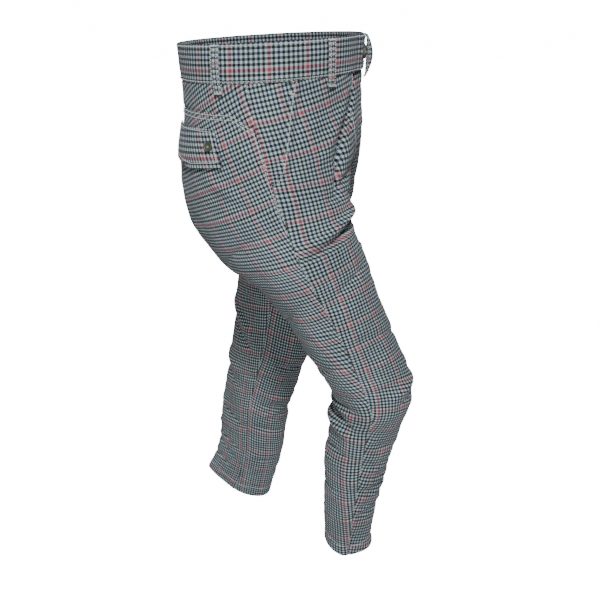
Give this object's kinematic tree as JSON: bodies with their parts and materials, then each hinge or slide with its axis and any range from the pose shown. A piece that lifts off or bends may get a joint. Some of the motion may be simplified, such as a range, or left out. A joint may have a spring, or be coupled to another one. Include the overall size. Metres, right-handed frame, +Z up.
{
  "type": "checked jeans-cut trousers",
  "caption": "Hollow worn trousers in small checked cotton: waistband with belt loops, slanted front pockets, back yoke, flap pockets, tapered legs in a walking pose",
  "frame": {"origin": "middle of the waist opening, level with the top edge of the waistband", "axes": "+Z up, the front of the garment faces -Y, the wearer's right side is at -X"},
  "size_m": [0.3691, 0.4381, 0.8992],
  "materials": {
    "checked_cotton": "matt woven cotton with a small check",
    "button_resin": "satin"
  },
  "bodies": {
    "root": {"waistband": "checked_cotton", "right_front": "checked_cotton", "left_front": "checked_cotton", "right_back": "checked_cotton", "left_back": "checked_cotton", "right_yoke": "checked_cotton", "left_yoke": "checked_cotton", "right_pocket_facing": "checked_cotton", "left_pocket_facing": "checked_cotton", "right_back_flap": "checked_cotton", "left_back_flap": "checked_cotton", "right_front_loop": "checked_cotton", "left_front_loop": "checked_cotton", "right_side_loop": "checked_cotton", "left_side_loop": "checked_cotton", "back_loop": "checked_cotton", "right_flap_button": "button_resin", "left_flap_button": "button_resin", "waist_button": "button_resin"}
  },
  "joints": []
}
